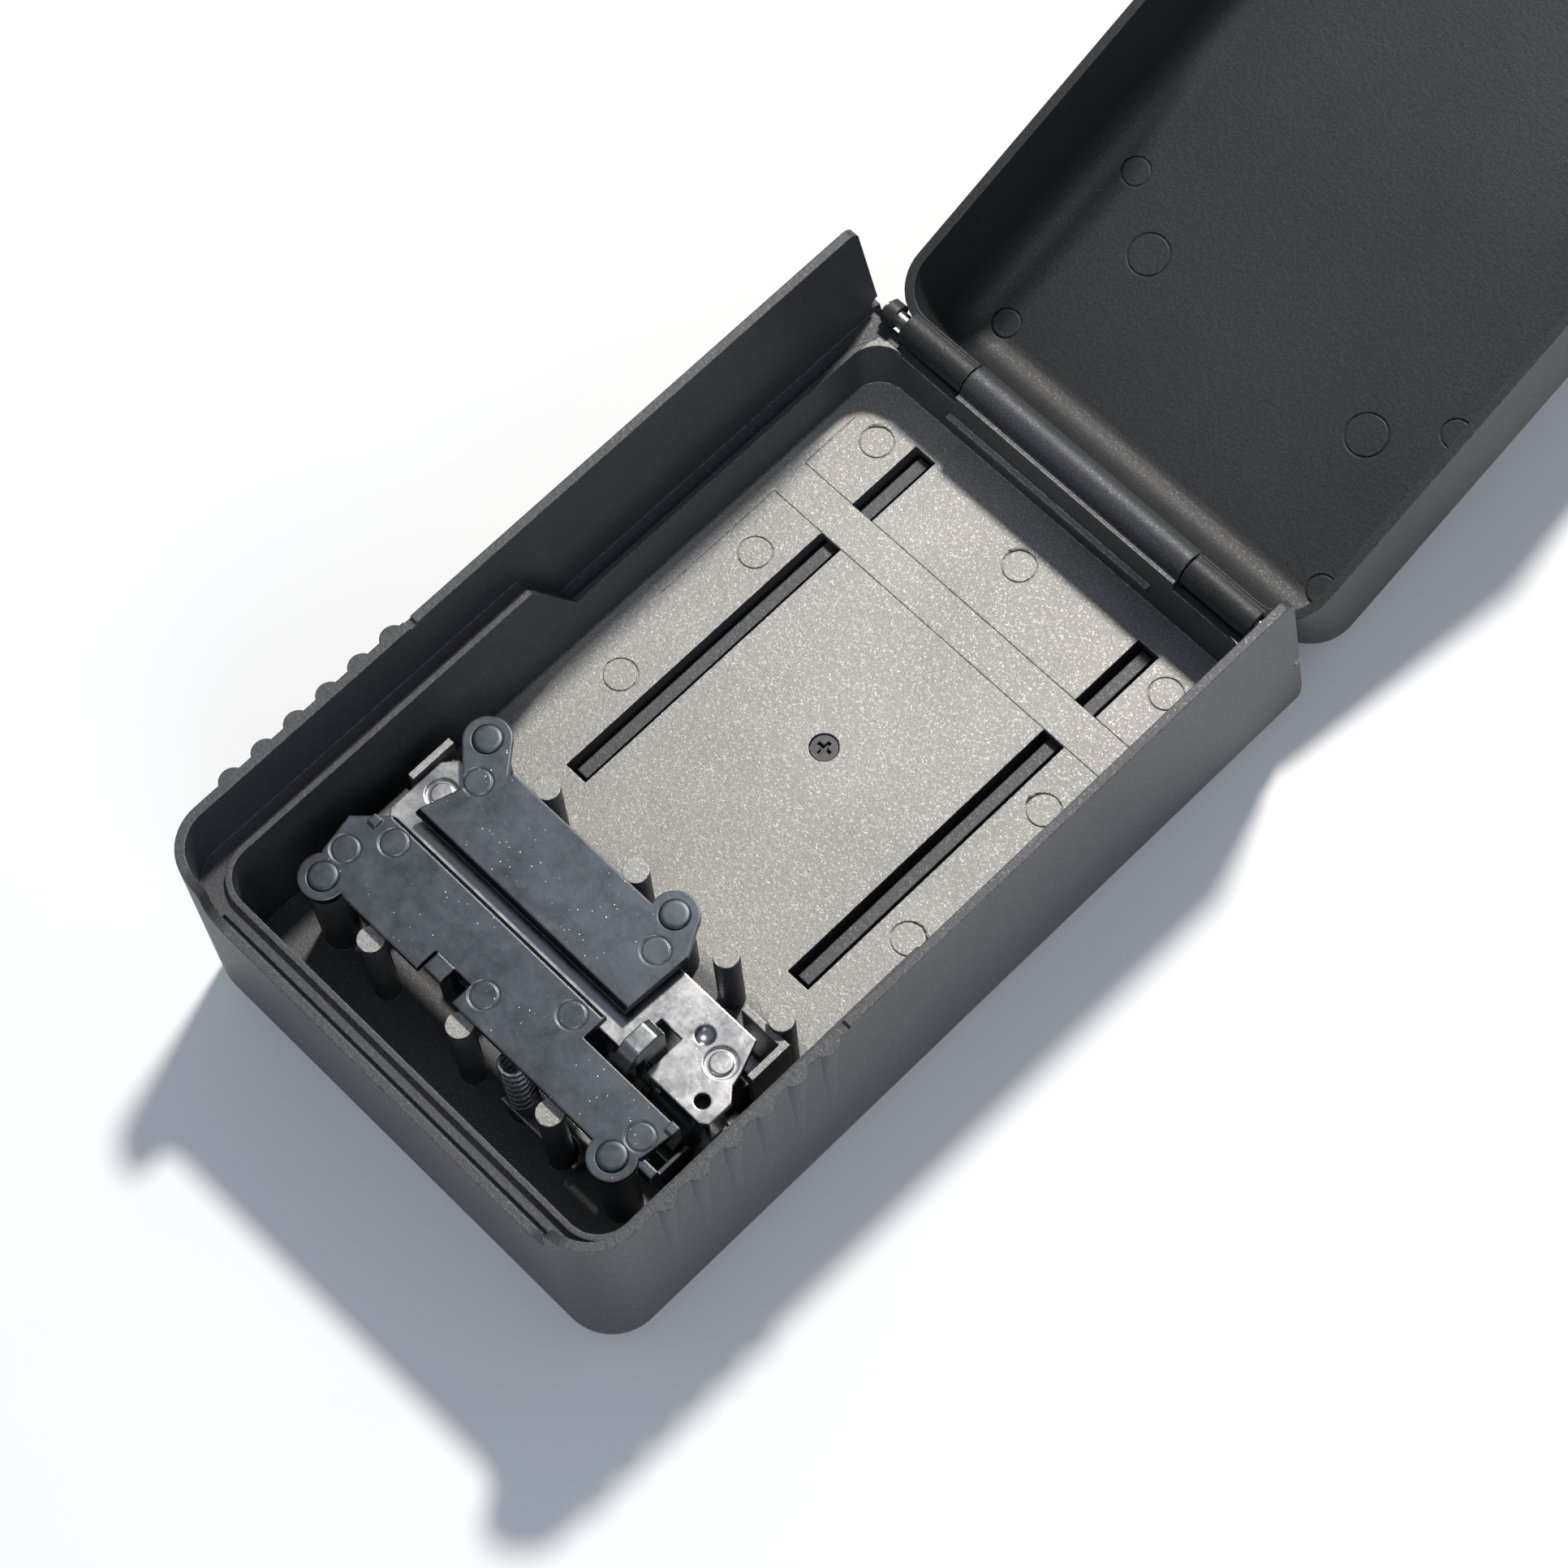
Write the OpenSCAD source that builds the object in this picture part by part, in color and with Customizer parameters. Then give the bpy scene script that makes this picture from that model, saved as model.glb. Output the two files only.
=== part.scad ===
// Die-cast key box: a front cover with a four-wheel combination lock, and a wall box
// hinged to it. It lies open on the face of the cover. X runs along the hinge, Y towards
// the hinge and Z up, with the origin at the centre of the cover's outer face.

/* [Front cover] */
// Width over the cheeks
cover_w = 81.2; // [80.6:0.2:82]
// Length, from the front wall to the rear foot
cover_l = 131.8; // [131.4:0.2:136]
// Height of the cheek rims above the table
cover_h = 43.4; // [42.4:0.2:45]
// Thickness of the floor, shutter recess included
floor_t = 9; // [8.8:0.1:9.2]
// Thickness of the thin cheeks and of the front rim
cheek_t = 1.35; // [1.2:0.05:1.5]
// Radius of the outer corners and bottom edges
edge_r = 7.5; // [6:0.5:7.5]
// Height of the ledge round the lock
ledge_high = 31.5; // [30:0.5:32.5]
// Height of the ledge beside the hinge
ledge_low = 18.6; // [17:0.2:19]
// How far the front rim dips between its corners
rim_dip = 9.9; // [6:0.5:10.5]

/* [Grip] */
// Number of grip ribs on each side
grip_count = 6; // [3:1:7]
// Distance from rib to rib
grip_pitch = 5.64; // [4.6:0.1:6]
// Height of a rib above the side
grip_rise = 1.05; // [0.4:0.05:1.4]

/* [Wall box] */
// Depth from the hinge axis to the back
box_d = 24.6; // [23.6:0.2:25.6]
// Thickness of its walls
box_t = 1.4; // [1.2:0.1:1.6]
// Gap between the box and the cheeks
box_gap = 0.65; // [0.4:0.05:0.9]
// Angle by which the open box is raised from flat
open_tilt = 21; // [20:0.5:24]

/* [Hinge] */
// Diameter of the pin
pin_d = 2.5; // [2:0.1:3]
// Outer diameter of the knuckles
knuckle_d = 5; // [4.6:0.1:5.4]
// Length of the middle knuckle
knuckle_mid = 41.6; // [36:0.2:46]
// Length over all the knuckles
knuckle_all = 66; // [60:0.5:67]

/* [Lock] */
// Diameter of a dial
dial_d = 17.2; // [16:0.2:17.4]
// Width of a dial
dial_w = 6.4; // [5.6:0.1:6.5]
// Distance from dial to dial
dial_pitch = 17.4; // [17.2:0.1:17.6]
// Diameter of the spindle
spindle_d = 4; // [3.4:0.1:4.4]
// Thickness of the two lock plates
plate_t = 1.5; // [1.2:0.1:1.8]
// Height of the top of the rear lock plate
rear_plate_z = 26; // [25.6:0.1:26.4]
// Height of the top of the front lock plate
front_plate_z = 29; // [28.4:0.1:29.6]
// Travel of the release button
press = 2.5; // [2:0.1:2.7]
// Travel of the code change lever
reset_shift = 1.6; // [1.2:0.1:1.6]

/* [Shutter] */
// Width of the shutter
shutter_w = 60; // [59.5:0.1:61]
// Length of the shutter
shutter_l = 71.5; // [70:0.5:72]
// Travel of the shutter
shutter_travel = 38; // [34:0.5:38]
// Width of a rail under the shutter
rail_w = 1.9; // [1.4:0.1:2.4]
// Distance of each rail from the middle
rail_x = 21.6; // [19:0.2:23]

/* [Hidden] */
$fn = 64;

// Running and free clearances
run = 0.05;
free = 0.3;

// Cover
half_w = cover_w/2;
front_y = -cover_l/2;
rear_y = cover_l/2;
cheek_in = half_w - cheek_t;
cheek_lean = 5;
wall_in_y = front_y + cheek_t;
shutter_t = 2.8;
recess_z = shutter_t + 0.3;

// Hinge axis
hinge_y = rear_y - 1.6;
hinge_z = ledge_low + 1.9;
rear_out_y = hinge_y - 1;
rear_wall_t = 2.5;
rear_top_z = ledge_low - 0.1;
pin_reach = cheek_in - 1.75;
bush_l = 1.8;

// Wall box, measured from the hinge axis
box_w = 2*(cheek_in - box_gap);
box_near = 1;
box_far = hinge_y - wall_in_y - free - 0.05;
box_rim = 1.6;
box_step = -(ledge_high + free - hinge_z);
box_r = 7.5;
bush_x = box_w/2 - 3.4;

// Ridge inside the ledge, which stands inside the rim of the closed box
ridge_w = 0.9;
ridge_h = 1;
ridge_out = box_w/2 - box_t - free;
ridge_r = box_r - box_t - free;
ridge_rear_y = rear_out_y - box_t - free;
bay_half = ridge_out - ridge_w;
front_ridge_y = wall_in_y + 2.65;
bay_front_y = front_ridge_y + ridge_w;
bay_rear_y = rear_out_y - rear_wall_t;
ramp_y0 = front_y + 61.6;
ramp_y1 = ramp_y0 + 6.8;

// Lock
lock_y = front_y + 29.4;
dial_low = recess_z + 0.2;
lock_z = dial_low + dial_d/2;
dial_x = [for (i = [0:3]) (i - 1.5)*dial_pitch];
sleeve_r = 3.4;
flange_r = 4.4;
flange_t = 1.2;
flange_off = dial_w/2 + 1;
gate_w = 3.6;
gate_floor = 3.5;
bearing_t = 1.6;
bearing_left = -33.8;
bearing_right = 34;
spindle_reach = bearing_right + bearing_t;
catch_t = 1.2;
catch_z = rear_plate_z - 3;
catch_drop = 1;
catch_rear_y = lock_y + 11;
catch_front_y = lock_y - 2.2;
lug_r = 3.4;
post_r = 2.05;
post_rows = [-17, 0, 17];
hook_x = 17.2;
hook_w = 2.9;
arm_z = floor_t + 1.2;
arm_t = 1.4;
button_x = 8.5;
button_y = lock_y - 14;
button_r = 4.4;
button_stem_r = 2.2;
spring_r = 1.9;
spring_wire = 0.35;
spring_turns = 8;
strike_t = 1.6;
strike_y = lock_y - 4.5;

// Shutter
shutter_y1 = rear_y - 10.4;
shutter_y0 = shutter_y1 - shutter_l;
recess_y0 = shutter_y0 - shutter_travel - 1.4;
recess_y1 = shutter_y1 + 0.7;
slot_w = rail_w + 1.96;
rail_top = floor_t - 1.8;
screw_y = rear_y - 52.05;
line_a = rear_y - 22.96;
line_b = line_a - 6.11;
long_slot_y0 = lock_y + 23.8;

cast = [0.24, 0.24, 0.25];
zinc = [0.17, 0.18, 0.2];
nickel = [0.78, 0.78, 0.8];
steel = [0.62, 0.63, 0.65];
black = [0.06, 0.06, 0.07];

// Flat outline with round corners
module rounded(w, y0, y1, r) {
    translate([-w/2 + r, y0]) square([w - 2*r, y1 - y0]);
    translate([-w/2, y0 + r]) square([w, y1 - y0 - 2*r]);
    for (x = [-1, 1], y = [y0 + r, y1 - r]) translate([x*(w/2 - r), y]) circle(r);
}

// Box outline seen from one side, round along its two bottom edges
module round_floor(a, b, h, r) {
    translate([a, r]) square([b - a, h - r]);
    translate([a + r, 0]) square([b - a - 2*r, h]);
    translate([a + r, r]) circle(r);
    translate([b - r, r]) circle(r);
}

// Solid box with round bottom edges and corners, standing on z = 0
module tub(w, y0, y1, h, r) {
    translate([0, y1 - r, 0]) rotate([90, 0, 0])
        linear_extrude(y1 - y0 - 2*r) round_floor(-w/2, w/2, h, r);
    translate([-w/2 + r, 0, 0]) rotate([90, 0, 90])
        linear_extrude(w - 2*r) round_floor(y0, y1, h, r);
    for (x = [-1, 1], y = [y0 + r, y1 - r]) translate([x*(w/2 - r), y, r]) {
        sphere(r);
        cylinder(h = h - r, r = r);
    }
}

// Extrude a Y-Z outline along X, over a width centred on the middle
module across(w) {
    translate([-w/2, 0, 0]) rotate([90, 0, 90]) linear_extrude(w) children();
}

// Cylinder along X
module bar(x0, x1, r, y, z) {
    translate([x0, y, z]) rotate([0, 90, 0]) cylinder(h = x1 - x0, r = r);
}

module block(x0, x1, y0, y1, z0, z1) {
    translate([x0, y0, z0]) cube([x1 - x0, y1 - y0, z1 - z0]);
}

// Circle left by an ejector pin
module ejector_mark(x, y, z, r = 2.6) {
    translate([x, y, z - 0.2]) difference() {
        cylinder(h = 1, r = r);
        translate([0, 0, -1]) cylinder(h = 3, r = r - 0.25);
    }
}

// Side view of the cover: leaning cheek ends and a round foot
module cover_side() {
    foot_r = edge_r;
    top_y = rear_y - cheek_lean;
    top_r = 2;
    polygon([[front_y - 1, -1], [rear_y - foot_r, -1], [rear_y - foot_r, foot_r], [rear_y, foot_r + 3],
        [top_y + 0.25, cover_h - top_r], [top_y - top_r, cover_h], [front_y - 1, cover_h]]);
    translate([rear_y - foot_r, foot_r]) circle(foot_r);
    translate([rear_y - foot_r, foot_r]) square([foot_r, 3]);
    translate([top_y - top_r + 0.25, cover_h - top_r]) circle(top_r);
}

// Space above the ledge, drawn from the side; lift raises it over the ridge
module above_ledge(lift) {
    polygon([[wall_in_y - 5, ledge_high + lift], [ramp_y0, ledge_high + lift],
        [ramp_y1, ledge_low + lift], [bay_rear_y, ledge_low + lift], [bay_rear_y, rear_top_z],
        [rear_y + 20, rear_top_z], [rear_y + 20, cover_h + 10], [wall_in_y - 5, cover_h + 10]]);
}

// Dip of the front rim, with a curved shoulder at each end
module front_dip() {
    low = cover_h - rim_dip;
    half = half_w - 12.6;
    r = 4;
    // The arc of a shoulder tops out a hair above the rim, so that it meets the rim at an edge
    arc_z = cover_h - r + 0.02;
    translate([-half, low]) square([2*half, rim_dip + 5]);
    translate([-half - r, low + r]) square([2*half + 2*r, rim_dip + 5 - r]);
    for (side = [-1, 1]) {
        translate([side*half, low + r]) circle(r);
        difference() {
            translate([side*(half + 1.5*r) - r/2, arc_z]) square([r, r + 5]);
            translate([side*(half + 2*r), arc_z]) circle(r);
        }
    }
}

module grip_ribs() {
    rib_r = 2;
    foot_z = 14;
    lean = atan((grip_rise + 0.2)/(cover_h - foot_z));
    for (side = [-1, 1], i = [0:grip_count - 1])
        translate([side*(half_w - rib_r - 0.2), front_y + 13.5 + i*grip_pitch, foot_z])
            rotate([0, side*lean, 0]) cylinder(h = cover_h - foot_z + 4, r = rib_r);
}

module lock_posts() {
    rise = floor_t - 1;
    // Dividers between the dials, in two rows
    for (x = post_rows) {
        translate([x, lock_y - 15.5, rise]) cylinder(h = front_plate_z - plate_t - 0.1 - rise, r = 1.85);
        translate([x, lock_y + 16, rise]) cylinder(h = 25 - rise, r = 1.85);
    }
    translate([28.4, lock_y + 14.9, rise]) cylinder(h = 25 - rise, r = 1.85);
    // Riveted posts that carry the two plates
    for (x = [-27.4, 27.4]) translate([x, lock_y - 14.2, rise]) {
        cylinder(h = front_plate_z - plate_t - 0.02 - rise, r = 2.7);
        cylinder(h = front_plate_z + 0.25 - rise, r = post_r);
    }
    for (x = [-27.4, 8.5]) translate([x, lock_y + 15, rise]) {
        cylinder(h = rear_plate_z - plate_t - 0.02 - rise, r = 2.3);
        cylinder(h = rear_plate_z + 0.25 - rise, r = post_r);
    }
    // Bearings of the dial spindle
    for (x = [bearing_left, bearing_right]) difference() {
        block(x, x + bearing_t, lock_y - 4.5, lock_y + 4.5, rise, lock_z + 4.5);
        bar(x - 1, x + bearing_t + 1, spindle_d/2 + run, lock_y, lock_z);
    }
    // Ribs that guide the locking plate
    guide_z = catch_z + 0.6;
    block(-32.2, -31.2, lock_y + 4.6, lock_y + 12, rise, guide_z);
    block(23.4, 31.4, catch_rear_y + 1.4, catch_rear_y + 2.4, rise, guide_z);
    block(30.4, 31.4, lock_y + 6.6, catch_rear_y + 2.4, rise, guide_z);
}

// Openings in the floor for the dials and the release button
module lock_openings() {
    for (x = dial_x)
        block(x - dial_w/2 - free, x + dial_w/2 + free, lock_y - dial_d/2 + 0.3, lock_y + dial_d/2 - 0.3,
            -1, floor_t + 1);
    // Pockets for the flanges of the sleeves, which shift when the code is changed
    for (x = dial_x)
        block(x + dial_w/2, x + flange_off + flange_t + reset_shift + free, lock_y - flange_r - free,
            lock_y + flange_r + free, lock_z - flange_r - free, floor_t + 1);
    // Shallow dish, so that a finger reaches the dials
    block(-half_w + 11.5, half_w - 11.5, lock_y - 7.6, lock_y + 7.6, recess_z - 1, recess_z + 1.6);
    translate([button_x, button_y, -1]) cylinder(h = floor_t + 5, r = button_stem_r + 0.1);
    translate([button_x, button_y, -1]) cylinder(h = recess_z + press + 2.8, r = button_r + 0.15);
}

// Recess, grooves and slots of the sliding shutter
module shutter_cuts() {
    translate([0, 0, -1]) linear_extrude(recess_z + 1)
        rounded(shutter_w + 0.8, recess_y0, recess_y1, 2.5);
    for (side = [-1, 1]) {
        x0 = side*rail_x - slot_w/2;
        x1 = x0 + slot_w;
        block(x0, x1, long_slot_y0 - shutter_travel - 1.5, recess_y1, recess_z - 1, rail_top + 0.4);
        block(x0, x1, long_slot_y0, line_b, recess_z - 1, floor_t + 1);
        block(x0, x1, line_a, recess_y1 - 0.5, recess_z - 1, floor_t + 1);
    }
    translate([0, screw_y, -1]) cylinder(h = 20, r = 1.3);
    translate([0, screw_y, floor_t - 1.1]) cylinder(h = 5, r = 2.15);
}

// Fine lines left by the mould insert between the slots
module insert_lines() {
    line_w = 0.16;
    side_x = 33;
    for (y = [line_a, line_b]) block(-side_x, side_x, y - line_w/2, y + line_w/2, floor_t - 0.12, floor_t + 1);
    for (x = [-side_x, side_x]) {
        block(x - line_w/2, x + line_w/2, line_a, line_a + 10, floor_t - 0.12, floor_t + 1);
        block(x - line_w/2, x + line_w/2, line_b - 22, line_b, floor_t - 0.12, floor_t + 1);
    }
}

module front_cover() {
    color(cast) difference() {
        union() {
            difference() {
                intersection() {
                    union() {
                        tub(cover_w, front_y, rear_y + 20, cover_h + 5, edge_r);
                        grip_ribs();
                    }
                    across(cover_w + 10) cover_side();
                }
                // Space between the cheeks, down to the ledge and over the ridge
                intersection() {
                    across(2*cheek_in) above_ledge(ridge_h);
                    linear_extrude(cover_h + 10)
                        rounded(2*cheek_in, wall_in_y, rear_y + 30, edge_r - cheek_t);
                }
                // Track for the rim of the box, outside the ridge
                intersection() {
                    across(2*cheek_in) above_ledge(0);
                    linear_extrude(cover_h + 10) difference() {
                        rounded(2*cheek_in, wall_in_y, rear_y + 30, edge_r - cheek_t);
                        rounded(2*ridge_out, front_ridge_y, ridge_rear_y, ridge_r);
                    }
                }
                // Groove at the foot of the front rim
                block(-half_w + 9, half_w - 9, wall_in_y, wall_in_y + 0.85, ledge_high - 0.6, ledge_high + 3);
                // Bay for the keys and the lock
                translate([0, 0, floor_t]) linear_extrude(cover_h)
                    rounded(2*bay_half, bay_front_y, bay_rear_y, ridge_r - ridge_w);
                // Dip of the front rim
                translate([0, front_y + cheek_t + 0.5, 0]) rotate([90, 0, 0]) linear_extrude(10) front_dip();
                // Room for the open box behind the rear wall
                block(-cheek_in, cheek_in, rear_out_y, rear_y + 10, floor_t, cover_h + 5);
                // Room for the knuckles of the box
                for (x = [-knuckle_all/2 - 0.4, knuckle_mid/2 - 0.01])
                    bar(x, x + (knuckle_all - knuckle_mid)/2 + 0.41, knuckle_d/2 + 0.5, hinge_y, hinge_z);
                shutter_cuts();
                lock_openings();
                // Small steps in the rims behind the grip
                for (side = [-1, 1])
                    block(side*half_w - 3, side*half_w + 3, front_y + 44.2, front_y + 45.4, cover_h - 0.5, cover_h + 5);
            }
            // Middle knuckle on its web, with a lip under it
            bar(-knuckle_mid/2 + 0.15, knuckle_mid/2 - 0.15, knuckle_d/2 + 0.1, hinge_y, hinge_z);
            block(-knuckle_mid/2 + 0.15, knuckle_mid/2 - 0.15, bay_rear_y, hinge_y, rear_top_z - 2, hinge_z);
            block(-knuckle_mid/2 - 1, knuckle_mid/2 - 4, bay_rear_y - 0.9, bay_rear_y + 0.5, rear_top_z - 5, rear_top_z - 4);
            lock_posts();
        }
        bar(-half_w, half_w, pin_d/2 + 0.02, hinge_y, hinge_z);
        for (x = [-28, 28], y = [52.3, 28.1, 1.9]) ejector_mark(x, y, floor_t);
        ejector_mark(0, 52.3, floor_t);
        insert_lines();
    }
}

// Places a child, drawn from the hinge axis with its rim up, in the open box
module in_box() {
    translate([0, hinge_y, hinge_z]) rotate([open_tilt, 0, 0]) children();
}

// What is cut off above the stepped rim of the box
module above_rim() {
    far0 = hinge_y - ramp_y1 - free;
    far1 = hinge_y - ramp_y0 - free;
    polygon([[-5, box_rim], [far0, box_rim], [far1, box_step], [box_far + 20, box_step],
        [box_far + 20, box_rim + 30], [-5, box_rim + 30]]);
}

module back_box() {
    drop = [0, 0, -box_d];
    color(cast) in_box() difference() {
        union() {
            difference() {
                translate(drop) tub(box_w, box_near, box_far, box_d + box_rim + 5, box_r);
                across(box_w + 10) above_rim();
                translate([0, 0, -box_d + 1.5])
                    tub(box_w - 2*box_t, box_near + box_t, box_far - box_t, box_d + 20, box_r - box_t);
                // Room for the middle knuckle
                bar(-knuckle_mid/2, knuckle_mid/2, knuckle_d/2 + 0.6, 0, 0);
                block(-knuckle_mid/2, knuckle_mid/2, -5, box_near + 3, -2.6, 5);
            }
            for (x = [-knuckle_all/2, knuckle_mid/2 + 0.15]) {
                w = (knuckle_all - knuckle_mid)/2 - 0.15;
                bar(x, x + w, knuckle_d/2, 0, 0);
                block(x, x + w, 0, box_near + box_t, -knuckle_d/2, box_rim);
            }
        }
        bar(-half_w, half_w, pin_d/2 + run, 0, 0);
        // Marks of the mould on the inside
        for (x = [-30.7, 30.7]) {
            ejector_mark(x, 9.6, -box_d + 1.5, 2.3);
            ejector_mark(x, 38.2, -box_d + 1.5, 2.3);
            ejector_mark(x, 98, -box_d + 1.5, 2.3);
        }
        for (x = [-21, 21]) {
            // Drill-out points near the hinge, open screw holes in the far half
            ejector_mark(x, 30.2, -box_d + 1.5, 3.3);
            translate([x, 84, -box_d - 1]) cylinder(h = 5, r = 2.6);
        }
        for (x = [-6, 6]) translate([hook_x + hook_w/2 + x, strike_u() - 4, -box_d - 1]) cylinder(h = 5, r = 1.05);
    }
}

module hinge_pin() color(steel) bar(-pin_reach, pin_reach, pin_d/2, hinge_y, hinge_z);

module hinge_bush(side) {
    x0 = side > 0 ? bush_x : -bush_x - bush_l;
    color(black) difference() {
        bar(x0, x0 + bush_l, 1.95, hinge_y, hinge_z);
        bar(x0 - 1, x0 + bush_l + 1, pin_d/2 + 0.02, hinge_y, hinge_z);
    }
}

// A dial, with ten finger flats and the bore that turns on its sleeve
module dial(i) {
    x = dial_x[i];
    color(black) difference() {
        bar(x - dial_w/2, x + dial_w/2, dial_d/2, lock_y, lock_z);
        bar(x - dial_w, x + dial_w, sleeve_r + run, lock_y, lock_z);
        for (k = [0:9]) translate([x - dial_w, lock_y, lock_z]) rotate([k*36 + 18, 0, 0])
            translate([0, 0, dial_d/2 + 0.75]) rotate([0, 90, 0]) cylinder(h = 2*dial_w, r = 1.35, $fn = 32);
    }
}

// Sleeve of a dial, with the gated flange that the locking plate drops into
module code_sleeve(i) {
    x = dial_x[i];
    color(zinc) difference() {
        union() {
            bar(x - dial_w/2, x + flange_off + flange_t, sleeve_r, lock_y, lock_z);
            bar(x + flange_off, x + flange_off + flange_t, flange_r, lock_y, lock_z);
        }
        bar(x - dial_w, x + dial_w, spindle_d/2 + run, lock_y, lock_z);
        block(x + flange_off - 0.1, x + flange_off + flange_t + 0.1, lock_y - gate_w/2, lock_y + gate_w/2,
            lock_z + gate_floor, lock_z + flange_r + 1);
    }
}

module dial_spindle() color(steel) bar(bearing_left - 0.6, spindle_reach - 0.1, spindle_d/2, lock_y, lock_z);

// Comb spring: four fingers at the dials and two arms under the locking plate
module detent_spring() {
    t = 0.4;
    y0 = lock_y + dial_d/2 + free;
    arm_top = catch_z - catch_t - catch_drop - 0.1;
    color(steel) {
        block(-31, 29.8, y0, y0 + 3.1, floor_t + 0.02, floor_t + t);
        for (x = dial_x) block(x - 3, x + 3, y0, y0 + t, floor_t + 0.02, lock_z + 1.5);
        for (x = [-30.6, dial_x[2] + 6.5]) {
            block(x, x + 2.2, y0 + 1.6, y0 + 1.6 + t, floor_t + 0.02, arm_top);
            block(x, x + 2.2, y0 - 0.6, y0 + 1.6 + t, arm_top - t, arm_top);
        }
    }
}

// Outlines of the two lock plates, round lugs included
module rear_plate_outline() {
    edge = catch_front_y + 3.4;
    polygon([[-26.8, edge], [13.4, edge], [13.9, lock_y + 12.1], [5.4, lock_y + 14],
        [-21.3, lock_y + 14], [-24.6, lock_y + 8]]);
    translate([-27.4, lock_y + 15]) circle(lug_r);
    translate([8.5, lock_y + 15]) circle(lug_r);
    polygon([[-29.8, lock_y + 12.6], [-24.6, lock_y + 8], [-20.5, lock_y + 12], [-25, lock_y + 17.4]]);
    polygon([[5.4, lock_y + 14], [10, lock_y + 9], [13.9, lock_y + 12.1], [11.2, lock_y + 17]]);
}

module front_plate_outline() {
    edge = lock_y - 14.3;
    rear = catch_front_y + 0.6;
    polygon([[-31.3, rear - 4.4], [-26.8, rear], [13.2, rear], [13.2, rear - 4.1], [30.9, rear - 4.1],
        [30.2, edge + 2.5], [24.8, edge], [-23.4, edge], [-30.2, edge + 2.5]]);
    for (x = [-27.4, 27.4]) translate([x, lock_y - 14.2]) circle(lug_r);
}

module lock_rear_plate() {
    color(zinc) difference() {
        translate([0, 0, rear_plate_z - plate_t]) linear_extrude(plate_t) rear_plate_outline();
        for (x = [-27.4, 8.5]) translate([x, lock_y + 15, 0]) cylinder(h = 50, r = post_r + run);
        // Room for the divider posts
        for (x = post_rows) translate([x, lock_y + 16, 0]) cylinder(h = 50, r = 2.05);
        for (p = [[-23.8, 9.9], [10.3, 9.8]]) ejector_mark(p[0], lock_y + p[1], rear_plate_z, 2.1);
        // Bevel along the gap between the plates
        translate([0, catch_front_y + 3.4, rear_plate_z]) rotate([45, 0, 0]) cube([60, 0.9, 0.9], center = true);
    }
}

module lock_front_plate() {
    top = front_plate_z;
    rear = catch_front_y + 0.6;
    color(zinc) difference() {
        union() {
            translate([0, 0, top - plate_t]) linear_extrude(plate_t) front_plate_outline();
            // Stop blocks at the ends of the lever's way
            for (p = [[-28.9, rear - 3.2], [29.6, rear - 5.4]])
                block(p[0], p[0] + 1.4, p[1], p[1] + 1.4, top - plate_t, top + 0.5);
        }
        for (x = [-27.4, 27.4]) translate([x, lock_y - 14.2, 0]) cylinder(h = 50, r = post_r + run);
        for (p = [[-28.2, -9.5], [-24.2, -4.4], [-0.2, -10.7], [9.9, -4.6], [28.1, -9.8]])
            ejector_mark(p[0], lock_y + p[1], top, 2.1);
        // Way of the code change lever
        block(-9.2, -2.4, lock_y - 20, lock_y - 10.9, top - 5, top + 5);
        translate([-7, rear, top]) rotate([45, 0, 0]) cube([40, 0.9, 0.9], center = true);
    }
}

// Bright plate with a window for the hook and a fence tooth over each sleeve
module locking_plate() {
    top = catch_z;
    hole_r = 2.3;
    color(nickel) difference() {
        union() {
            translate([0, 0, top - catch_t]) linear_extrude(catch_t)
                polygon([[-30.6, catch_front_y + 2], [-29, catch_front_y], [30.4, catch_front_y],
                    [31.5, catch_front_y + 0.8], [31.5, lock_y + 2.6], [29.9, lock_y + 4.4],
                    [29.4, catch_rear_y - 4.6], [27.6, catch_rear_y], [-29, catch_rear_y],
                    [-30.6, catch_rear_y - 2]]);
            for (x = dial_x)
                block(x + flange_off + 0.15, x + flange_off + flange_t - 0.15, lock_y - 1.4, lock_y + 1.4,
                    lock_z + flange_r + free, top - catch_t + 0.1);
        }
        // Window of the hook, a hole in the corner and the rings round the pressed studs
        block(hook_x - 0.5, hook_x + hook_w + 0.5, lock_y - 3, lock_y + 4.4, 0, 50);
        translate([28.6, lock_y + 0.2, 0]) cylinder(h = 50, r = 1.1);
        for (p = [[26.6, 5.6], [-27.1, 6]]) translate([p[0], lock_y + p[1], top - 0.5]) difference() {
            cylinder(h = 5, r = hole_r);
            translate([0, 0, -1]) cylinder(h = 8, r = 1.6);
        }
        translate([22.4, lock_y + 6.8, top + 1.2]) sphere(r = 1.9);
    }
}

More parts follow.
